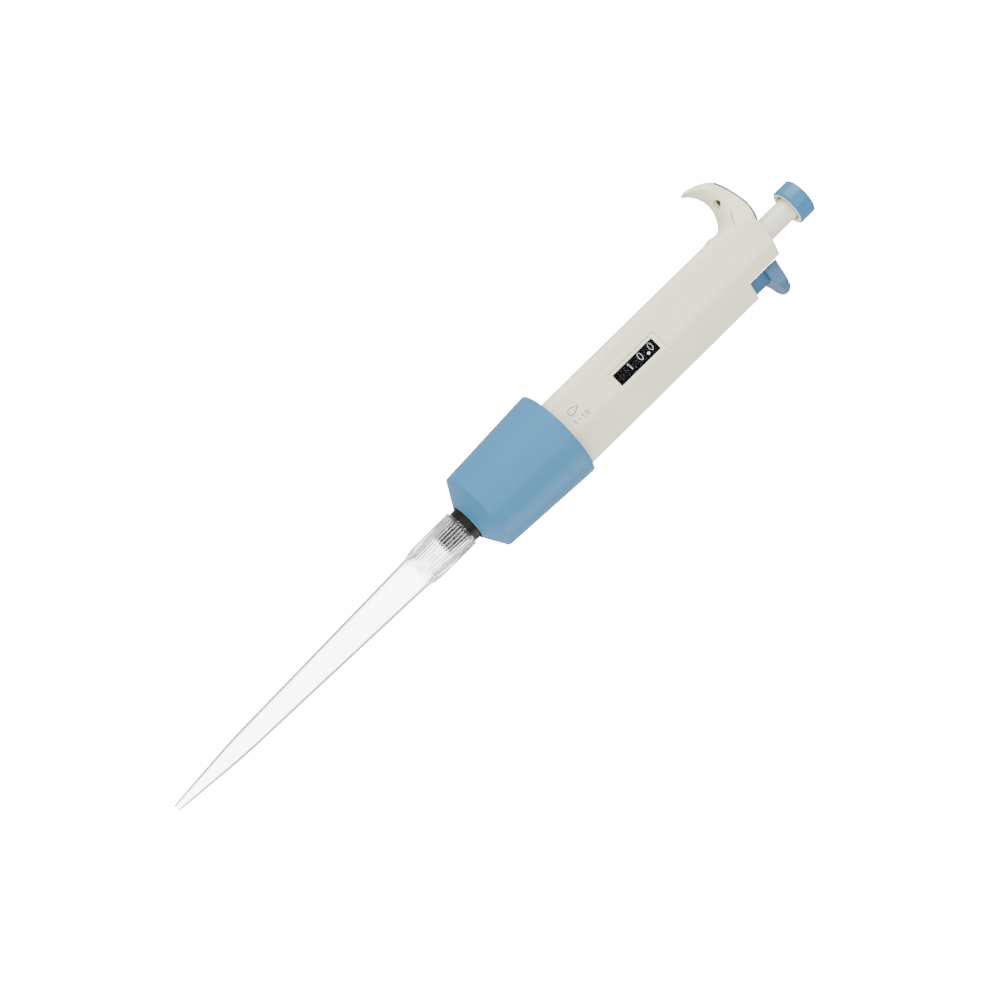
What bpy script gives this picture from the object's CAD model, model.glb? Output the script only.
"""Looks of an adjustable 1-10 mL pipette with a fitted tip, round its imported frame.

Sizes are in millimetres until a mesh is loaded, and +Z runs up the long axis.
"""

import logging
import math
from dataclasses import dataclass, field
from enum import Enum

import bpy
import numpy as np
from mathutils import Matrix, Vector


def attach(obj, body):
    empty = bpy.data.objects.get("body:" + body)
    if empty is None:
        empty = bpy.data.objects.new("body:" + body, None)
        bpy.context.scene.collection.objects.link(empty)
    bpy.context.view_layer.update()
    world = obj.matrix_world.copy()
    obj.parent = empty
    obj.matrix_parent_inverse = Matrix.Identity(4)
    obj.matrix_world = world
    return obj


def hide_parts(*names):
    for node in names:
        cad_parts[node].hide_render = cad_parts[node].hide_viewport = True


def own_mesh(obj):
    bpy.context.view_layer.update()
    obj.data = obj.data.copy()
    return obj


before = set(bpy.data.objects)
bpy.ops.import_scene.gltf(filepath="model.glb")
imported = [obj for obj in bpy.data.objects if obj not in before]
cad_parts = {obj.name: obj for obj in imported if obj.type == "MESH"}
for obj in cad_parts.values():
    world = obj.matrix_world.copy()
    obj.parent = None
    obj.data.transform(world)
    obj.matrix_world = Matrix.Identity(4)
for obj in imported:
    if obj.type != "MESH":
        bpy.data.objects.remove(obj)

LOG = logging.getLogger("pipette")
MM = 0.001

Colour = tuple[float, float, float]
Point = tuple[float, float]


class Body(Enum):
    """The frame's bodies that new pieces ride on."""

    ROOT = "root"
    DIAL = "dial"
    UNITS = "units_drum"
    TENS = "tens_drum"
    STAGE = "blowout_stage"
    PLUNGER = "plunger"
    EJECTOR = "ejector"
    TIP = "fitted_tip"


# ------------------------------------------------------------------ node groups


def new_group(name: str, inputs: dict[str, float], outputs: dict[str, str]) -> bpy.types.NodeTree:
    """Make an empty shader node group with its sockets.

    Args:
        name: the group's name.
        inputs: each number input with its default value.
        outputs: each output with its socket type.

    Returns:
        The group, with its input and output nodes in place.
    """
    group = bpy.data.node_groups.new(name, "ShaderNodeTree")
    for label, value in inputs.items():
        socket = group.interface.new_socket(label, in_out="INPUT", socket_type="NodeSocketFloat")
        socket.default_value = value
    for label, kind in outputs.items():
        group.interface.new_socket(label, in_out="OUTPUT", socket_type=kind)
    group.nodes.new("NodeGroupInput").name = "in"
    group.nodes.new("NodeGroupOutput").name = "out"
    return group


def noise(tree: bpy.types.NodeTree, detail: float, distortion: float = 0.0) -> bpy.types.Node:
    """A noise texture on Object coordinates, in a tree of its own or a material's."""
    place = tree.nodes.new("ShaderNodeTexCoord")
    texture = tree.nodes.new("ShaderNodeTexNoise")
    texture.inputs["Detail"].default_value = detail
    texture.inputs["Distortion"].default_value = distortion
    tree.links.new(place.outputs["Object"], texture.inputs["Vector"])
    return texture


def ranged(tree: bpy.types.NodeTree, source: bpy.types.NodeSocket, low: float,
           high: float, to_low: float, to_high: float) -> bpy.types.NodeSocket:
    """Carry a value from one range to another, held at its ends."""
    node = tree.nodes.new("ShaderNodeMapRange")
    for label, value in (("From Min", low), ("From Max", high), ("To Min", to_low),
                         ("To Max", to_high)):
        node.inputs[label].default_value = value
    tree.links.new(source, node.inputs["Value"])
    return node.outputs["Result"]


def mould_grain_group() -> bpy.types.NodeTree:
    """The fine skin of a moulded part: a height for its grain and a slow drift of tone."""
    group = new_group("mould_grain", {"Grains per metre": 3000.0, "Drift per metre": 40.0},
                      {"Height": "NodeSocketFloat", "Drift": "NodeSocketFloat"})
    start, end = group.nodes["in"], group.nodes["out"]
    grain, drift = noise(group, 2.0), noise(group, 4.0, 0.6)
    group.links.new(start.outputs["Grains per metre"], grain.inputs["Scale"])
    group.links.new(start.outputs["Drift per metre"], drift.inputs["Scale"])
    group.links.new(grain.outputs["Fac"], end.inputs["Height"])
    group.links.new(ranged(group, drift.outputs["Fac"], 0.3, 0.7, 0.0, 1.0), end.inputs["Drift"])
    return group


def handling_group() -> bpy.types.NodeTree:
    """Marks of use: short rubbed streaks where two stretched noises meet."""
    group = new_group("handling_marks", {"Marks per metre": 260.0},
                      {"Mask": "NodeSocketFloat"})
    start, end = group.nodes["in"], group.nodes["out"]
    place = group.nodes.new("ShaderNodeTexCoord")
    streaks = []
    for stretch in ((1.0, 1.0, 0.12), (0.9, 0.14, 1.0)):
        scale = group.nodes.new("ShaderNodeMapping")
        scale.inputs["Scale"].default_value = stretch
        texture = group.nodes.new("ShaderNodeTexNoise")
        texture.inputs["Detail"].default_value = 3.0
        group.links.new(place.outputs["Object"], scale.inputs["Vector"])
        group.links.new(scale.outputs["Vector"], texture.inputs["Vector"])
        group.links.new(start.outputs["Marks per metre"], texture.inputs["Scale"])
        streaks.append(ranged(group, texture.outputs["Fac"], 0.56, 0.72, 0.0, 1.0))
    both = group.nodes.new("ShaderNodeMath")
    both.operation = "MAXIMUM"
    group.links.new(streaks[0], both.inputs[0])
    group.links.new(streaks[1], both.inputs[1])
    group.links.new(both.outputs["Value"], end.inputs["Mask"])
    return group


class Shared:
    """The node groups and materials that are made once and used by many pieces."""

    grain: bpy.types.NodeTree = mould_grain_group()
    marks: bpy.types.NodeTree = handling_group()
    made: dict[str, bpy.types.Material] = {}


# ------------------------------------------------------------------ finishes


def new_material(name: str) -> tuple[bpy.types.Material, bpy.types.NodeTree, bpy.types.Node]:
    """Make a material and return it with its tree and its Principled shader."""
    material = bpy.data.materials.new(name)
    material.use_nodes = True
    tree = material.node_tree
    return material, tree, tree.nodes["Principled BSDF"]


def placed_group(tree: bpy.types.NodeTree, group: bpy.types.NodeTree,
                 values: dict[str, float]) -> bpy.types.Node:
    """Place a shared group in a material with its own values."""
    node = tree.nodes.new("ShaderNodeGroup")
    node.node_tree = group
    for label, value in values.items():
        node.inputs[label].default_value = value
    return node


def blended(tree: bpy.types.NodeTree, share: bpy.types.NodeSocket, first: Colour,
            second: Colour) -> bpy.types.NodeSocket:
    """A colour that goes from the first to the second with a mask."""
    mix = tree.nodes.new("ShaderNodeMix")
    mix.data_type = "RGBA"
    mix.inputs[6].default_value = (*first, 1.0)
    mix.inputs[7].default_value = (*second, 1.0)
    tree.links.new(share, mix.inputs[0])
    return mix.outputs[2]


def scaled(colour: Colour, share: float) -> Colour:
    """A colour made lighter or darker by a share."""
    return tuple(min(1.0, part * share) for part in colour)


@dataclass(frozen=True)
class MouldedPlastic:
    """Injection-moulded plastic with a fine skin, a slow drift of tone and marks of use.

    edge is the radius in millimetres that the moulding gives to its corners, and gloss is
    the specular level, 0.5 for a plain polymer skin.
    """

    name: str
    colour: Colour
    roughness: float
    drift: float = 0.035
    grains: float = 3000.0
    grain_depth: float = 0.004
    marks: float = 0.10
    edge: float = 0.0
    sheen_through: float = 0.0
    gloss: float = 0.5

    def build(self) -> bpy.types.Material:
        """Build the material, or return it if it is already there."""
        if self.name in Shared.made:
            return Shared.made[self.name]
        material, tree, shader = new_material(self.name)
        skin = placed_group(tree, Shared.grain, {"Grains per metre": self.grains})
        use = placed_group(tree, Shared.marks, {})
        tone = blended(tree, skin.outputs["Drift"], scaled(self.colour, 1 - self.drift),
                       scaled(self.colour, 1 + self.drift))
        tree.links.new(tone, shader.inputs["Base Color"])
        rough = ranged(tree, use.outputs["Mask"], 0.0, 1.0, self.roughness,
                       self.roughness + self.marks)
        tree.links.new(rough, shader.inputs["Roughness"])
        bump = tree.nodes.new("ShaderNodeBump")
        bump.inputs["Strength"].default_value = 0.35
        bump.inputs["Distance"].default_value = self.grain_depth * MM
        tree.links.new(skin.outputs["Height"], bump.inputs["Height"])
        if self.edge > 0:
            corner = tree.nodes.new("ShaderNodeBevel")
            corner.samples = 4
            corner.inputs["Radius"].default_value = self.edge * MM
            tree.links.new(corner.outputs["Normal"], bump.inputs["Normal"])
        tree.links.new(bump.outputs["Normal"], shader.inputs["Normal"])
        shader.inputs["Specular IOR Level"].default_value = self.gloss
        shader.inputs["Subsurface Weight"].default_value = self.sheen_through
        shader.inputs["Subsurface Scale"].default_value = 0.5 * MM
        Shared.made[self.name] = material
        return material


@dataclass(frozen=True)
class ClearPlastic:
    """Clear plastic with faint flow clouds in its polish."""

    name: str
    colour: Colour
    roughness: float
    haze: float = 0.05
    ior: float = 1.49
    clarity: float = 1.0

    def build(self) -> bpy.types.Material:
        """Build the material, or return it if it is already there."""
        if self.name in Shared.made:
            return Shared.made[self.name]
        material, tree, shader = new_material(self.name)
        skin = placed_group(tree, Shared.grain, {"Drift per metre": 90.0})
        tone = blended(tree, skin.outputs["Drift"], scaled(self.colour, 0.992), self.colour)
        tree.links.new(tone, shader.inputs["Base Color"])
        rough = ranged(tree, skin.outputs["Drift"], 0.0, 1.0, self.roughness,
                       self.roughness + self.haze)
        tree.links.new(rough, shader.inputs["Roughness"])
        shader.inputs["Transmission Weight"].default_value = self.clarity
        shader.inputs["IOR"].default_value = self.ior
        Shared.made[self.name] = material
        return material


@dataclass(frozen=True)
class TurnedSteel:
    """Steel with the fine rings that turning or drawing leaves round its axis."""

    name: str
    colour: Colour
    roughness: float
    rings: float = 2600.0

    def build(self) -> bpy.types.Material:
        """Build the material, or return it if it is already there."""
        if self.name in Shared.made:
            return Shared.made[self.name]
        material, tree, shader = new_material(self.name)
        place = tree.nodes.new("ShaderNodeTexCoord")
        wave = tree.nodes.new("ShaderNodeTexWave")
        wave.bands_direction = "Z"
        wave.inputs["Scale"].default_value = self.rings
        wave.inputs["Distortion"].default_value = 1.5
        tree.links.new(place.outputs["Object"], wave.inputs["Vector"])
        tone = blended(tree, wave.outputs["Fac"], scaled(self.colour, 0.92), self.colour)
        tree.links.new(tone, shader.inputs["Base Color"])
        rough = ranged(tree, wave.outputs["Fac"], 0.0, 1.0, self.roughness, self.roughness + 0.12)
        tree.links.new(rough, shader.inputs["Roughness"])
        shader.inputs["Metallic"].default_value = 1.0
        Shared.made[self.name] = material
        return material


Finish = MouldedPlastic | ClearPlastic | TurnedSteel

HANDLE_IVORY = MouldedPlastic("handle_ivory", (0.80, 0.78, 0.56), 0.45, edge=0.45,
                              sheen_through=0.08, gloss=0.3)
SLEEVE_BLUE = MouldedPlastic("sleeve_blue", (0.040, 0.165, 0.31), 0.38, drift=0.03, grain_depth=0.002,
                             gloss=0.2)
BUTTON_BLUE = MouldedPlastic("button_blue", (0.04, 0.16, 0.30), 0.35, drift=0.03, grain_depth=0.002,
                             gloss=0.25)
EJECTOR_BLUE = MouldedPlastic("ejector_blue", (0.03, 0.11, 0.21), 0.32, drift=0.04, edge=0.5)
ROD_IVORY = MouldedPlastic("rod_ivory", (0.79, 0.76, 0.59), 0.33, drift=0.02, edge=0.2)
INNER_WHITE = MouldedPlastic("inner_white", (0.78, 0.78, 0.74), 0.38, drift=0.02, edge=0.15)
NOZZLE_BLACK = MouldedPlastic("nozzle_black", (0.006, 0.006, 0.006), 0.34, drift=0.2, gloss=0.15)
INNER_BLACK = MouldedPlastic("inner_black", (0.02, 0.02, 0.02), 0.5, drift=0.2)
DRUM_BLACK = MouldedPlastic("drum_black", (0.006, 0.006, 0.006), 0.7, drift=0.3, grain_depth=0.003,
                            gloss=0.08)
LABEL_SLATE = MouldedPlastic("label_slate", (0.055, 0.065, 0.09), 0.4, drift=0.1)
SEAL_BLACK = MouldedPlastic("seal_black", (0.02, 0.02, 0.02), 0.7, drift=0.25, grains=5000.0)
FILTER_WHITE = MouldedPlastic("filter_white", (0.8, 0.8, 0.77), 0.9, drift=0.06, grains=2200.0,
                              grain_depth=0.06)
PRINT_WHITE = MouldedPlastic("print_white", (0.62, 0.65, 0.70), 0.6, drift=0.06)
DOT_WHITE = MouldedPlastic("dot_white", (0.95, 0.95, 0.95), 0.5, drift=0.02)
PRINT_GREY = MouldedPlastic("print_grey", (0.16, 0.16, 0.155), 0.6, drift=0.08)
TIP_CLEAR = ClearPlastic("tip_clear", (0.99, 0.993, 0.993), 0.02)
RIB_MILKY = ClearPlastic("rib_milky", (0.90, 0.92, 0.93), 0.25, clarity=0.45)
LENS_CLEAR = ClearPlastic("lens_clear", (0.97, 0.98, 0.98), 0.0, haze=0.02, ior=1.15)
STEEL = TurnedSteel("turned_steel", (0.62, 0.62, 0.63), 0.25)
SPRING_STEEL = TurnedSteel("spring_steel", (0.5, 0.5, 0.51), 0.3, rings=4000.0)


# ------------------------------------------------------------------ surfaces


@dataclass
class Surface:
    """Points in millimetres and the faces between them, as arrays of corner numbers."""

    points: np.ndarray
    faces: list[np.ndarray] = field(default_factory=list)

    def outward(self) -> "Surface":
        """Turn every face round if the closed surface has its inside out.

        The signed volume is the sum over the faces of corner . (next x last) / 6.
        """
        total = 0.0
        for block in self.faces:
            first = self.points[block[:, 0]]
            for step in range(1, block.shape[1] - 1):
                second, third = self.points[block[:, step]], self.points[block[:, step + 1]]
                total += float(np.einsum("ij,ij->i", first, np.cross(second, third)).sum())
        if total < 0:
            self.faces = [block[:, ::-1] for block in self.faces]
        return self


def joined(surfaces: list[Surface]) -> Surface:
    """Put several surfaces in one, each with its own points."""
    starts = np.cumsum([0] + [len(surface.points) for surface in surfaces[:-1]])
    faces = [block + start for surface, start in zip(surfaces, starts)
             for block in surface.faces]
    return Surface(np.concatenate([surface.points for surface in surfaces]), faces)


def grid_quads(rows: int, columns: int, closed_rows: bool, closed_columns: bool) -> np.ndarray:
    """Corner numbers of the quads of a grid of points.

    Args:
        rows: points along the first parameter.
        columns: points along the second parameter.
        closed_rows: whether the last row joins the first.
        closed_columns: whether the last column joins the first.

    Returns:
        An array of four corner numbers a quad.
    """
    row, column = np.meshgrid(np.arange(rows if closed_rows else rows - 1),
                              np.arange(columns if closed_columns else columns - 1),
                              indexing="ij")
    below, beside = (row + 1) % rows, (column + 1) % columns
    corners = [row * columns + column, row * columns + beside, below * columns + beside,
               below * columns + column]
    return np.stack(corners, axis=-1).reshape(-1, 4)


def rounded(corners: list[tuple[float, float, float]], steps: int = 4) -> np.ndarray:
    """Round the corners of a closed outline.

    Each corner becomes a short parabola: (1-t)^2 A + 2t(1-t) C + t^2 B, where C is the
    corner and A and B lie on its two sides, a radius away at most.

    Args:
        corners: (across, up, radius) of each corner.
        steps: spans of each rounding.

    Returns:
        The outline's points in order.
    """
    points = []
    share = np.linspace(0, 1, steps + 1)[:, None]
    for index, (across, up, radius) in enumerate(corners):
        corner = np.array((across, up))
        if radius <= 0:
            points.append(corner[None])
            continue
        sides = []
        for other in (corners[index - 1], corners[(index + 1) % len(corners)]):
            away = np.array(other[:2]) - corner
            length = np.linalg.norm(away)
            sides.append(corner + away / length * min(radius, 0.45 * length))
        points.append((1 - share) ** 2 * sides[0] + 2 * share * (1 - share) * corner
                      + share ** 2 * sides[1])
    return np.concatenate(points)


def refined(outline: np.ndarray, step: float, closed: bool = True) -> np.ndarray:
    """Add points to the long sides of an outline, so that no side is over a step."""
    ends = np.roll(outline, -1, axis=0) if closed else outline[1:]
    starts = outline if closed else outline[:-1]
    parts = []
    for start, end in zip(starts, ends):
        count = max(1, math.ceil(float(np.linalg.norm(end - start)) / step))
        share = np.linspace(0, 1, count, endpoint=False)[:, None]
        parts.append(start + (end - start) * share)
    if not closed:
        parts.append(outline[-1:])
    return np.concatenate(parts)


def turned(profile: np.ndarray, columns: int, lift: np.ndarray | None = None,
           wave: np.ndarray | None = None) -> Surface:
    """A closed surface of revolution, with ribs or flats if lift and wave are given.

    Point (i, j) is ((r_i + lift_i * wave_j) cos a_j, (r_i + lift_i * wave_j) sin a_j, z_i).
    A profile that starts and ends on the axis is closed by a fan at each pole.

    Args:
        profile: (radius, height) of a closed loop, or of a line from axis to axis.
        columns: points round the axis.
        lift: how far the wave moves each profile point.
        wave: the wave's value at each column.

    Returns:
        The surface, with its faces outwards.
    """
    angle = np.linspace(0, 2 * math.pi, columns, endpoint=False)
    solid = profile[0, 0] == 0 and profile[-1, 0] == 0
    rim = profile[1:-1] if solid else profile
    radius = np.repeat(rim[:, :1], columns, axis=1)
    if lift is not None and wave is not None:
        radius = radius + lift[:, None] * wave[None, :]
    height = np.repeat(rim[:, 1:], columns, axis=1)
    points = np.stack([radius * np.cos(angle), radius * np.sin(angle), height], axis=-1)
    points = points.reshape(-1, 3)
    faces = [grid_quads(len(rim), columns, not solid, True)]
    if solid:
        poles = np.array([(0, 0, profile[0, 1]), (0, 0, profile[-1, 1])])
        first, count = np.arange(columns), len(points)
        last = first + columns * (len(rim) - 1)
        faces.append(np.stack([np.full(columns, count), np.roll(first, -1), first], axis=-1))
        faces.append(np.stack([np.full(columns, count + 1), last, np.roll(last, -1)], axis=-1))
        points = np.concatenate([points, poles])
    return Surface(points, faces).outward()


def prism(outline: np.ndarray, low: float, high: float) -> Surface:
    """An upright prism on a convex outline, closed by a fan at each end."""
    count = len(outline)
    rows = [np.column_stack([outline, np.full(count, height)]) for height in (low, high)]
    middle = outline.mean(axis=0)
    poles = np.array([(*middle, low), (*middle, high)])
    near, far = np.arange(count), np.arange(count) + count
    faces = [grid_quads(2, count, False, True),
             np.stack([np.full(count, 2 * count), np.roll(near, -1), near], axis=-1),
             np.stack([np.full(count, 2 * count + 1), far, np.roll(far, -1)], axis=-1)]
    return Surface(np.concatenate([*rows, poles]), faces).outward()


def tube(path: np.ndarray, sideways: np.ndarray, upright: np.ndarray, radius: float,
         columns: int = 12) -> Surface:
    """A round wire along a path: point (i, j) is p_i + radius (cos b_j s_i + sin b_j u_i)."""
    angle = np.linspace(0, 2 * math.pi, columns, endpoint=False)
    ring = (sideways[:, None, :] * np.cos(angle)[None, :, None]
            + upright[:, None, :] * np.sin(angle)[None, :, None])
    points = (path[:, None, :] + radius * ring).reshape(-1, 3)
    first, last = np.arange(columns), np.arange(columns) + columns * (len(path) - 1)
    count = len(points)
    faces = [grid_quads(len(path), columns, False, True),
             np.stack([np.full(columns, count), np.roll(first, -1), first], axis=-1),
             np.stack([np.full(columns, count + 1), last, np.roll(last, -1)], axis=-1)]
    return Surface(np.concatenate([points, path[:1], path[-1:]]), faces).outward()


def new_piece(name: str, surface: Surface, finish: Finish, body: Body,
              replaces: tuple[str, ...] = (),
              sharp: float = 40.0) -> bpy.types.Object:
    """Load a surface as a mesh object that rides on a body.

    Args:
        name: the piece's name.
        surface: its points in millimetres and its faces.
        finish: what it is made of.
        body: the body that it rides on.
        replaces: the frame's nodes that it stands for.
        sharp: the angle in degrees past which an edge stays sharp.

    Returns:
        The object, at the origin.
    """
    mesh = bpy.data.meshes.new(name)
    faces = [corners for block in surface.faces for corners in block.tolist()]
    mesh.from_pydata((surface.points * MM).tolist(), [], faces)
    mesh.validate()
    mesh.shade_smooth()
    mesh.set_sharp_from_angle(angle=math.radians(sharp))
    mesh.materials.append(finish.build())
    piece = bpy.data.objects.new(name, mesh)
    bpy.context.scene.collection.objects.link(piece)
    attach(piece, body.value)
    if replaces:
        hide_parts(*replaces)
    LOG.info("%s: %d faces on body %s", name, len(mesh.polygons), body.value)
    return piece


def dress(finishes: dict[str, Finish]) -> None:
    """Give nodes of the frame their finishes."""
    for node, finish in finishes.items():
        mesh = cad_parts[node].data
        mesh.materials.clear()
        mesh.materials.append(finish.build())
        LOG.info("%s: dressed in %s", node, finish.name)


# ------------------------------------------------------------------ tip and nozzle


@dataclass
class FittedTip:
    """The clear disposable tip with its ribbed collar."""

    orifice: float = 0.8
    end_radius: float = 1.5
    end: float = -140.0
    bend: float = -108.0
    bend_radius: float = 4.1
    shoulder: float = -10.3
    shoulder_radius: float = 6.8
    collar_radius: float = 7.25
    skin_radius: float = 7.4
    rim_height: float = 0.9
    rim_radius: float = 7.95
    top: float = 10.0
    wall: float = 0.85
    seat_radius: float = 7.0
    seat_end: float = 6.35
    rib_count: int = 36
    rib_crest: float = 7.83
    rib_width: float = 1.9
    rib_fade: tuple[float, float] = (-15.5, -9.0)
    crest_ends: tuple[float, float] = (-8.8, 8.6)
    crest_half: float = 0.15

    def outline(self) -> np.ndarray:
        """The half section: up the outside, over the rim and down the bore."""
        return refined(rounded([
            (self.orifice, self.end, 0.1), (self.end_radius, self.end, 0.35),
            (self.bend_radius, self.bend, 6.0), (self.shoulder_radius, self.shoulder, 0.8),
            (self.collar_radius, self.shoulder + 0.9, 0.6),
            (self.skin_radius, self.top - self.rim_height - 0.2, 0.1),
            (self.rim_radius, self.top - self.rim_height, 0.15), (self.rim_radius, self.top - 0.2, 0.1),
            (self.rim_radius - 0.2, self.top, 0.12), (self.seat_radius, self.top, 0.15),
            (self.seat_end, 0.0, 0.2), (self.shoulder_radius - self.wall, self.shoulder, 1.0),
            (self.bend_radius - self.wall, self.bend, 6.0),
        ]), 1.6)

    def surface(self) -> Surface:
        """The outline turned, with ribs that stand up to one crest radius.

        A rib is exp(-(a / w)^2) across, and its foot fades in over a smooth step.
        """
        outline = self.outline()
        radius, height = outline[:, 0], outline[:, 1]
        skin = np.interp(height, [self.end, self.bend, self.shoulder, self.top],
                         [self.end_radius, self.bend_radius, self.shoulder_radius,
                          self.skin_radius]) - 0.35
        low, high = self.rib_fade
        share = np.clip((height - low) / (high - low), 0, 1)
        fade = share * share * (3 - 2 * share)
        ends = np.clip((self.top - self.rim_height - height) / 0.4, 0, 1)
        lift = np.where(radius > skin, np.clip(self.rib_crest - radius, 0, None), 0) * fade * ends
        columns = self.rib_count * 10
        angle = np.arange(columns) * 360 / columns
        pitch = 360 / self.rib_count
        across = (angle + pitch / 2) % pitch - pitch / 2
        return turned(outline, columns, lift, np.exp(-((across / self.rib_width) ** 2)))

    def crests(self) -> Surface:
        """The milky crest lines: one thin bar on each rib, turned round the axis by its place."""
        low, high = self.crest_ends
        near, far, half = self.rib_crest - 0.08, self.rib_crest + 0.05, self.crest_half
        bar = np.array([(near, -half), (far, -half), (far, half), (near, half)])
        bars = []
        for rib in range(self.rib_count):
            turn = 2 * math.pi * rib / self.rib_count
            spin = np.array([(math.cos(turn), math.sin(turn)), (-math.sin(turn), math.cos(turn))])
            bars.append(prism(bar @ spin, low, high))
        return joined(bars)

    def build(self) -> None:
        """Make the tip and its crest lines."""
        new_piece("rib_crests", self.crests(), RIB_MILKY, Body.TIP, (), 30.0)
        new_piece("clear_tip", self.surface(), TIP_CLEAR, Body.TIP, ("tip",), 60.0)


@dataclass
class NozzleEnd:
    """The black cone that holds the tip, its sealing ring and its filter."""

    end_radius: float = 6.3
    seat_radius: float = 6.95
    neck_radius: float = 7.2
    seat: float = 10.0
    neck: float = 13.3
    base: float = 21.2
    floor: float = 23.2
    spigot: float = 5.0
    bore: float = 2.2
    pocket: float = 4.5
    pocket_depth: float = 8.0
    groove: tuple[float, float] = (4.4, 5.6)
    groove_radius: float = 5.55
    columns: int = 128

    def build(self) -> None:
        """Make the cone and dress what sits in it."""
        low, high = self.groove
        slope = (self.seat_radius - self.end_radius) / self.seat
        outline = refined(rounded([
            (self.pocket, 0, 0.15), (self.end_radius - 0.3, 0, 0.25),
            (self.end_radius + slope * 0.4, 0.4, 0.25), (self.end_radius + slope * low, low, 0.1),
            (self.groove_radius, low, 0.1), (self.groove_radius, high, 0.1),
            (self.end_radius + slope * high, high, 0.1), (self.seat_radius, self.seat, 0.3),
            (self.neck_radius, self.neck, 0.5), (self.neck_radius, self.base, 0.1),
            (self.spigot, self.base, 0.1), (self.spigot, self.floor, 0.3),
            (self.bore, self.floor, 0.2), (self.bore, self.pocket_depth, 0.2),
            (self.pocket, self.pocket_depth, 0.2),
        ]), 1.5)
        new_piece("nozzle_cone", turned(outline, self.columns), NOZZLE_BLACK, Body.ROOT,
                  ("nozzle",))
        dress({"nozzle_o_ring": SEAL_BLACK, "nozzle_filter": FILTER_WHITE})


# ------------------------------------------------------------------ cylinder and springs


@dataclass
class CoilSpring:
    """A helical spring that shortens with a joint."""

    name: str
    coil: float
    wire: float
    pitch: float
    low: float
    high: float
    across: float = 0.0
    body: Body = Body.ROOT
    joint: str = ""
    travel: float = 0.0

    def build(self) -> None:
        """Make the spring and let it shorten.

        The centre line is (c cos a, c sin a, z) with z rising by one pitch a turn.
        """
        rise = self.high - self.low - 2 * self.wire
        turns = rise / self.pitch
        angle = np.linspace(0, 2 * math.pi * turns, int(48 * turns) + 1)
        sideways = np.stack([np.cos(angle), np.sin(angle), np.zeros_like(angle)], axis=-1)
        height = self.low + self.wire + rise * np.linspace(0, 1, len(angle))
        path = sideways * self.coil
        path[:, 0] += self.across
        path[:, 2] = height
        slope = rise / (2 * math.pi * turns)
        along = np.stack([-self.coil * np.sin(angle), self.coil * np.cos(angle),
                          np.full_like(angle, slope)], axis=-1)
        along /= np.linalg.norm(along, axis=1, keepdims=True)
        piece = new_piece(f"{self.name}_coil", tube(path, sideways, np.cross(along, sideways),
                                                    self.wire),
                          SPRING_STEEL, self.body, (self.name,))
        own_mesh(piece)


@dataclass
class AirCylinder:
    """The cylinder with its head, the piston and what moves on the piston rod."""

    springs: tuple[CoilSpring, ...] = (
        CoilSpring("blowout_spring", 6.8, 0.6, 1.96, 53.1, 59.2, joint="blowout", travel=1.4),
        CoilSpring("return_spring", 6.1, 0.6, 5.0, 60.6, 84.3, body=Body.STAGE,
                   joint="plunger_press", travel=12.6),
    )

    def build(self) -> None:
        """Dress the cylinder and make its springs."""
        dress({
            "cylinder": INNER_BLACK, "cylinder_head": INNER_BLACK, "piston": INNER_WHITE,
            "piston_seal": SEAL_BLACK, "piston_rod": STEEL, "blowout_washer": STEEL,
            "spring_seat": INNER_WHITE,
        })
        for spring in self.springs:
            spring.build()


# ------------------------------------------------------------------ ejector


@dataclass
class Ejector:
    """The blue sleeve round the cylinder, the thumb button and its spring."""

    rim: float = 13.3
    hole: float = 7.6
    rim_radius: float = 8.3
    ridge: float = 19.0
    ridge_radius: float = 17.5
    top: float = 62.5
    top_radius: float = 19.7
    wall: float = 1.35
    lug: tuple[float, float, float] = (16.2, 1.8, 56.0)
    lug_height: float = 5.0
    columns: int = 192

    def sleeve(self) -> Surface:
        """The sleeve: a rim lip, a cone, a soft ridge and a long slightly flared wall."""
        outline = refined(rounded([
            (self.hole, self.rim, 0.2), (self.rim_radius - 0.05, self.rim, 0.25),
            (self.rim_radius + 0.25, self.rim + 0.55, 0.2),
            (self.rim_radius + 0.75, self.rim + 0.6, 0.3),
            (self.ridge_radius, self.ridge, 0.55), (self.top_radius, self.top - 0.4, 0.25),
            (self.top_radius - 0.3, self.top, 0.2), (self.top_radius - self.wall, self.top, 0.3),
            (self.ridge_radius - self.wall, self.ridge + 1.0, 0.8),
            (self.hole, self.rim + self.wall, 0.3),
        ], 5), 1.5)
        inner, half, low = self.lug
        outer = self.top_radius - self.wall / 2
        lug = np.array([(inner, -half), (outer, -half), (outer, half), (inner, half)])
        return joined([turned(outline, self.columns), prism(lug, low, low + self.lug_height)])

    def build(self) -> None:
        """Make the sleeve and dress the rest."""
        new_piece("skirt_sleeve", self.sleeve(), SLEEVE_BLUE, Body.EJECTOR, ("ejector_sleeve",),
                  50.0)
        CoilSpring("ejector_spring", 1.6, 0.35, 2.4, 124.1, 147.9, across=12.3,
                   joint="tip_eject", travel=7.5).build()
        dress({"ejector_bar": STEEL, "ejector_button": EJECTOR_BLUE, "ejector_guide": INNER_WHITE})


# ------------------------------------------------------------------ plunger and button


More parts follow.
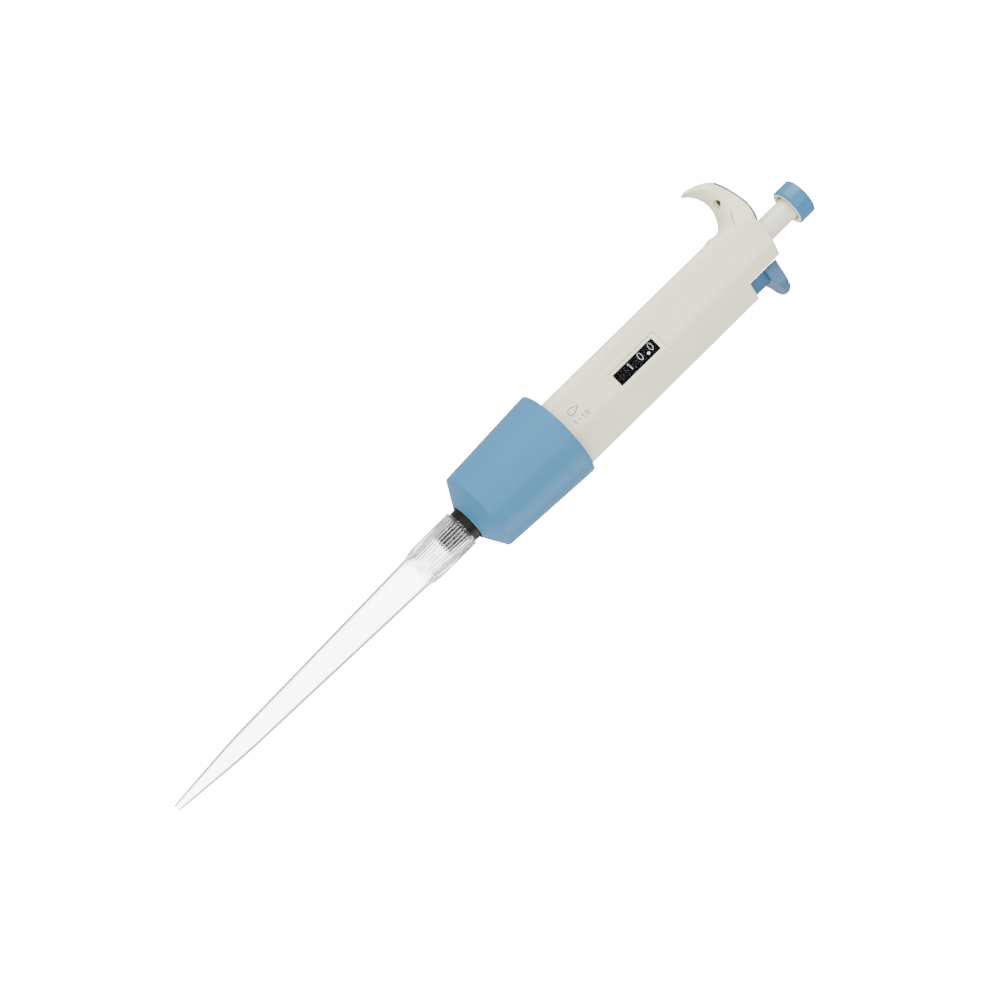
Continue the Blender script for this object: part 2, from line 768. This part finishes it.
@dataclass
class PushButton:
    """The faceted blue cap, its white core and the plunger."""

    low: float = 190.5
    height: float = 7.5
    radius: float = 8.15
    bore: float = 7.3
    roof: float = 1.5
    flats: int = 12
    flat_radius: float = 7.95
    recess_radius: float = 5.8
    recess: float = 3.0
    plunger: float = 4.77
    columns: int = 240

    def flat_wave(self) -> np.ndarray:
        """How far the flats lie inside the round form, by angle.

        The polygon f / cos(a) and the circle are joined by the soft minimum
        -log(exp(-k f) + exp(-k r)) / k.
        """
        span = 2 * math.pi / self.flats
        angle = np.arange(self.columns) * 2 * math.pi / self.columns
        across = (angle + span / 2) % span - span / 2
        sharpness = 18.0
        polygon = self.flat_radius / np.cos(across)
        soft = -np.log(np.exp(-sharpness * polygon)
                       + np.exp(-sharpness * (self.radius + 0.02))) / sharpness
        return soft - self.radius

    def cap(self) -> Surface:
        """The cap: soft flats outside, a chamfered rim and a rounded crown."""
        top = self.low + self.height
        outline = refined(rounded([
            (0, top - self.roof, 0), (self.bore, top - self.roof, 0.2), (self.bore, self.low, 0.1),
            (self.radius - 0.6, self.low, 0.2), (self.radius, self.low + 0.75, 0.3),
            (self.radius, top - 0.2, 1.1), (self.radius - 1.0, top, 1.0), (0, top, 0),
        ], 6), 0.8, closed=False)
        rim = outline[1:-1]
        lift = np.clip((rim[:, 0] - self.bore) / (self.radius - self.bore - 0.05), 0, 1)
        return turned(outline, self.columns, lift, self.flat_wave())

    def core(self) -> Surface:
        """The white core: a ring round a recess, closed above by a disc."""
        top = self.low + self.height - self.roof
        floor = self.low + self.recess
        outline = refined(rounded([
            (0, top - 1, 0), (self.plunger, top - 1, 0.05), (self.plunger, floor, 0.1),
            (self.recess_radius, floor, 0.3), (self.recess_radius, self.low, 0.25),
            (self.bore, self.low, 0.15), (self.bore, top, 0.05), (0, top, 0),
        ]), 1.0, closed=False)
        return turned(outline, 128)

    def build(self) -> None:
        """Make the cap and the core and dress the plunger."""
        new_piece("cap_faceted", self.cap(), BUTTON_BLUE, Body.PLUNGER, ("button_cap",),
                  50.0)
        new_piece("cap_core", self.core(), INNER_WHITE, Body.PLUNGER, ("button_core",))
        dress({"plunger_rod": ROD_IVORY, "rod_bush": INNER_WHITE})


# ------------------------------------------------------------------ counter


def arc(centre: Point, radii: Point, start: float, end: float, count: int = 28) -> np.ndarray:
    """Points of an ellipse's arc between two angles in degrees."""
    angle = np.radians(np.linspace(start, end, count))
    return np.stack([centre[0] + radii[0] * np.cos(angle),
                     centre[1] + radii[1] * np.sin(angle)], axis=-1)


def line(start: Point, end: Point, count: int = 6) -> np.ndarray:
    """Evenly spaced points of a straight line."""
    share = np.linspace(0, 1, count)[:, None]
    return np.array(start) + (np.array(end) - np.array(start)) * share


def strokes_of(sign: str) -> list[np.ndarray]:
    """The strokes of a plain numeral in a box one wide and one high."""
    top, low = (0.5, 0.74), (0.5, 0.26)
    return {
        "0": [arc((0.5, 0.5), (0.46, 0.5), 0, 360, 56)],
        "1": [line((0.18, 0.76), (0.56, 1.0)), line((0.56, 0.0), (0.56, 1.04))],
        "2": [arc(top, (0.44, 0.26), 170, -40), line((0.84, 0.57), (0.02, 0.0)),
              line((0.0, 0.0), (1.0, 0.0))],
        "3": [arc((0.48, 0.75), (0.42, 0.25), 160, -90), arc((0.48, 0.25), (0.46, 0.25), 90, -160)],
        "4": [line((0.72, 0.0), (0.72, 1.04)), line((0.70, 1.0), (0.02, 0.3)),
              line((0.0, 0.3), (1.0, 0.3))],
        "5": [line((0.9, 1.0), (0.14, 1.0)), line((0.16, 1.0), (0.08, 0.52)),
              arc((0.46, 0.32), (0.46, 0.32), 140, -150)],
        "6": [arc((0.5, 0.31), (0.45, 0.31), 0, 360, 48), arc((0.72, 0.36), (0.67, 0.66), 180, 98)],
        "7": [line((0.0, 1.0), (1.0, 1.0)), line((0.97, 1.0), (0.34, 0.0))],
        "8": [arc(top, (0.38, 0.26), 0, 360, 44), arc(low, (0.46, 0.26), 0, 360, 44)],
        "9": [arc((0.5, 0.69), (0.45, 0.31), 0, 360, 48), arc((0.28, 0.64), (0.67, 0.66), 0, -82)],
        "-": [line((0.2, 0.45), (0.8, 0.45))],
    }[sign]


def ribbon(path: np.ndarray, width: float, thickness: float) -> Surface:
    """A flat inked line: a rectangle carried along a path in the plane.

    Its four corner lines are p_i + / - n_i w/2 at height 0 and at the ink's thickness.
    """
    closed = bool(np.allclose(path[0], path[-1]))
    if closed:
        path = path[:-1]
        along = np.roll(path, -1, axis=0) - np.roll(path, 1, axis=0)
    else:
        along = np.gradient(path, axis=0)
    along = along / np.linalg.norm(along, axis=1, keepdims=True)
    side = np.stack([-along[:, 1], along[:, 0]], axis=-1) * width / 2
    corners = [(path + side, 0.0), (path - side, 0.0), (path - side, thickness),
               (path + side, thickness)]
    points = np.stack([np.column_stack([place, np.full(len(path), height)])
                       for place, height in corners], axis=1).reshape(-1, 3)
    faces = [grid_quads(len(path), 4, closed, True)]
    if not closed:
        last = 4 * (len(path) - 1)
        faces.append(np.array([(0, 1, 2, 3), (last + 3, last + 2, last + 1, last)]))
    return Surface(points, faces)


@dataclass(frozen=True)
class Numerals:
    """A plain printed numeral style that reads along +Z with its top towards -X."""

    width: float = 1.75
    height: float = 3.1
    stroke: float = 0.34
    ink: float = 0.05

    def flat(self, sign: str) -> Surface:
        """A numeral in the plane, centred, as (along, up, ink height)."""
        box = np.array((self.width, self.height))
        return joined([ribbon((path - 0.5) * box, self.stroke, self.ink)
                       for path in strokes_of(sign)])

    def on_face(self, sign: str, across: float, deep: float, height: float) -> Surface:
        """A numeral on a face that looks along -Y."""
        flat = self.flat(sign)
        along, up, ink = flat.points.T
        points = np.stack([across - up, deep - ink, height + along], axis=-1)
        return Surface(points, flat.faces).outward()

    def on_drum(self, sign: str, radius: float, turn: float, height: float) -> Surface:
        """A numeral bent round a drum, its middle a turn in degrees from -Y towards +X."""
        flat = self.flat(sign)
        along, up, ink = flat.points.T
        angle = math.radians(turn) - up / radius
        reach = radius + ink
        points = np.stack([reach * np.sin(angle), -reach * np.cos(angle), height + along],
                          axis=-1)
        return Surface(points, flat.faces).outward()


@dataclass
class Counter:
    """The volume counter: drums, numerals, frame, pinions and drive."""

    radius: float = 9.7
    first: float = 93.1
    pitch: float = 5.6
    middle: float = 0.9
    dot: tuple[float, float, float] = (2.3, -10.94, 107.3)
    dot_radius: float = 0.62
    style: Numerals = Numerals()

    def numerals(self, name: str, shown: int, height: float, body: Body) -> None:
        """Print ten numerals round a drum.

        Args:
            name: the piece's name.
            shown: the numeral that the window shows at rest.
            height: the middle of the drum.
            body: the drum's body.
        """
        start = math.degrees(math.asin(self.middle / self.radius))
        surfaces = [self.style.on_drum(str(digit), self.radius,
                                       start + (shown - digit) % 10 * 36.0, height)
                    for digit in range(10)]
        new_piece(name, joined(surfaces), PRINT_WHITE, body, (), 30.0)

    def build(self) -> None:
        """Dress the drums and print their numerals."""
        dress({f"counter_drum_{drum}": DRUM_BLACK for drum in ("blank", "tens", "units", "tenths")})
        dress({
            "counter_frame": INNER_BLACK, "pinion_shaft": STEEL, "carry_pinion_low": INNER_WHITE,
            "carry_pinion_high": INNER_WHITE, "drive_sleeve": INNER_BLACK,
            "volume_nut": INNER_WHITE,
        })
        self.numerals("tens_numerals", 1, self.first + self.pitch, Body.TENS)
        self.numerals("units_numerals", 0, self.first + 2 * self.pitch, Body.UNITS)
        self.numerals("tenths_numerals", 0, self.first + 3 * self.pitch, Body.DIAL)
        across, deep, height = self.dot
        circle = arc((across, height), (self.dot_radius, self.dot_radius), 0, 360, 49)[:-1]
        dot = prism(circle, deep, deep + 0.08)
        dot.points = dot.points[:, [0, 2, 1]]
        new_piece("decimal_dot", dot.outward(), DOT_WHITE, Body.ROOT, (), 30.0)


# ------------------------------------------------------------------ handle


@dataclass
class Handle:
    """The two shells with the hook, the lens, the inlay, the screws and the printed range."""

    face: float = -12.5
    drop_middle: tuple[float, float] = (-2.4, 70.4)
    drop_radius: float = 1.75
    range_across: float = 1.9
    range_start: float = 68.0
    range_step: float = 1.9

    def drop(self) -> Surface:
        """A plain drop outline with its point along +Z.

        Its radius grows from zero at the point as sin(t) sin(t/2)^1.5 and is bent round.
        """
        turn = np.linspace(0, 2 * math.pi, 65)
        along = self.drop_radius * 1.35 * np.cos(turn)
        up = self.drop_radius * np.sin(turn) * np.abs(np.sin(turn / 2)) ** 1.2
        flat = ribbon(np.stack([along, up], axis=-1), 0.34, 0.03)
        along, up, ink = flat.points.T
        across, height = self.drop_middle
        points = np.stack([across - up, self.face - ink, height + along], axis=-1)
        return Surface(points, flat.faces).outward()

    def build(self) -> None:
        """Dress the shells and print the range and the drop."""
        dress({
            "handle_front_shell": HANDLE_IVORY, "handle_back_shell": HANDLE_IVORY,
            "hook_label_strip": LABEL_SLATE, "window_lens": LENS_CLEAR, "handle_screws": STEEL,
        })
        small = Numerals(1.15, 1.9, 0.27, 0.03)
        signs = [small.on_face(sign, self.range_across, self.face,
                               self.range_start + index * self.range_step)
                 for index, sign in enumerate("1-10")]
        new_piece("range_print", joined([*signs, self.drop()]), PRINT_GREY, Body.ROOT, (),
                  30.0)


# ------------------------------------------------------------------ studio


@dataclass
class Studio:
    """The camera, the lights, the white surround and the pale floor."""

    target: tuple[float, float, float] = (0.0025, 0.0, 0.0282)
    distance: float = 1.059
    rise: float = 9.6
    roll: float = 45.49
    lens: float = 100.0
    floor: float = -0.45
    floor_radius: float = 2.3
    surround: float = 22.0
    glow: float = 1.0
    lights: tuple[tuple[str, tuple[float, float, float], float, float], ...] = (
        ("key_light", (-1.0, -0.9, 0.9), 0.9, 34.0),
        ("front_light", (0.25, -1.35, 0.30), 0.35, 5.0),
        ("low_light", (-0.4, -1.0, -0.42), 0.7, 8.0),
        ("fill_light", (1.3, 0.0, -0.1), 0.9, 14.0),
        ("back_light", (0.3, 1.2, 0.9), 1.0, 16.0),
    )

    def camera(self) -> None:
        """Place the camera: it looks up by the rise and is turned by the roll."""
        rise, roll = math.radians(self.rise), math.radians(self.roll)
        ahead = Vector((0, math.cos(rise), math.sin(rise)))
        level = Vector((1, 0, 0))
        upright = level.cross(ahead)
        right = level * math.cos(roll) + upright * math.sin(roll)
        up = upright * math.cos(roll) - level * math.sin(roll)
        place = Vector(self.target) - ahead * self.distance
        data = bpy.data.cameras.new("studio_camera")
        data.lens = self.lens
        data.sensor_width = 36.0
        camera = bpy.data.objects.new("studio_camera", data)
        camera.matrix_world = Matrix((
            (right.x, up.x, -ahead.x, place.x), (right.y, up.y, -ahead.y, place.y),
            (right.z, up.z, -ahead.z, place.z), (0, 0, 0, 1),
        ))
        bpy.context.scene.collection.objects.link(camera)
        bpy.context.scene.camera = camera

    def light(self, name: str, place: tuple[float, float, float], size: float,
              power: float) -> None:
        """Place one soft square light that looks at the object."""
        data = bpy.data.lights.new(name, "AREA")
        data.shape, data.size, data.energy = "SQUARE", size, power
        lamp = bpy.data.objects.new(name, data)
        lamp.location = place
        lamp.rotation_mode = "QUATERNION"
        lamp.rotation_quaternion = (Vector(self.target) - Vector(place)).to_track_quat("-Z", "Y")
        bpy.context.scene.collection.objects.link(lamp)

    def world(self) -> None:
        """A soft white surround that is brighter where it is seen than where it lights."""
        world = bpy.data.worlds.new("studio_surround")
        world.use_nodes = True
        tree = world.node_tree
        glow = tree.nodes["Background"]
        glow.inputs["Color"].default_value = (1.0, 1.0, 1.0, 1.0)
        glow.inputs["Strength"].default_value = self.glow
        seen = tree.nodes.new("ShaderNodeBackground")
        seen.inputs["Strength"].default_value = self.surround
        seen.inputs["Color"].default_value = (1.0, 1.0, 1.0, 1.0)
        path = tree.nodes.new("ShaderNodeLightPath")
        bounces = tree.nodes.new("ShaderNodeMath")
        direct = tree.nodes.new("ShaderNodeMath")
        direct.operation = "LESS_THAN"
        direct.inputs[1].default_value = 0.5
        mix = tree.nodes.new("ShaderNodeMixShader")
        tree.links.new(path.outputs["Diffuse Depth"], bounces.inputs[0])
        tree.links.new(path.outputs["Glossy Depth"], bounces.inputs[1])
        tree.links.new(bounces.outputs["Value"], direct.inputs[0])
        tree.links.new(direct.outputs["Value"], mix.inputs[0])
        tree.links.new(glow.outputs["Background"], mix.inputs[1])
        tree.links.new(seen.outputs["Background"], mix.inputs[2])
        tree.links.new(mix.outputs["Shader"], tree.nodes["World Output"].inputs["Surface"])
        bpy.context.scene.world = world

    def ground(self) -> None:
        """A round pale floor, well below the object."""
        angle = np.linspace(0, 2 * math.pi, 97)[:-1]
        points = np.stack([np.cos(angle), np.sin(angle)], axis=-1) * self.floor_radius / MM
        mesh = bpy.data.meshes.new("floor")
        surface = prism(points, self.floor / MM - 10, self.floor / MM)
        faces = [corners for block in surface.faces for corners in block.tolist()]
        mesh.from_pydata((surface.points * MM).tolist(), [], faces)
        material, tree, shader = new_material("floor_pale")
        clouds = noise(tree, 3.0)
        clouds.inputs["Scale"].default_value = 3.0
        tone = blended(tree, clouds.outputs["Fac"], (0.84, 0.84, 0.84), (0.88, 0.88, 0.88))
        tree.links.new(tone, shader.inputs["Base Color"])
        shader.inputs["Roughness"].default_value = 0.8
        mesh.materials.append(material)
        floor = bpy.data.objects.new("floor", mesh)
        bpy.context.scene.collection.objects.link(floor)

    def build(self) -> None:
        """Make the whole studio."""
        self.camera()
        self.world()
        self.ground()
        for name, place, size, power in self.lights:
            self.light(name, place, size, power)


def main() -> None:
    """Build every sub-assembly in order."""
    logging.basicConfig(level=logging.INFO, format="%(name)s: %(message)s")
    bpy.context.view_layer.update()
    for part in (FittedTip(), NozzleEnd(), AirCylinder(), Ejector(), PushButton(), Counter(),
                 Handle(), Studio()):
        part.build()
        LOG.info("%s built", type(part).__name__)


if __name__ == "__main__":
    main()
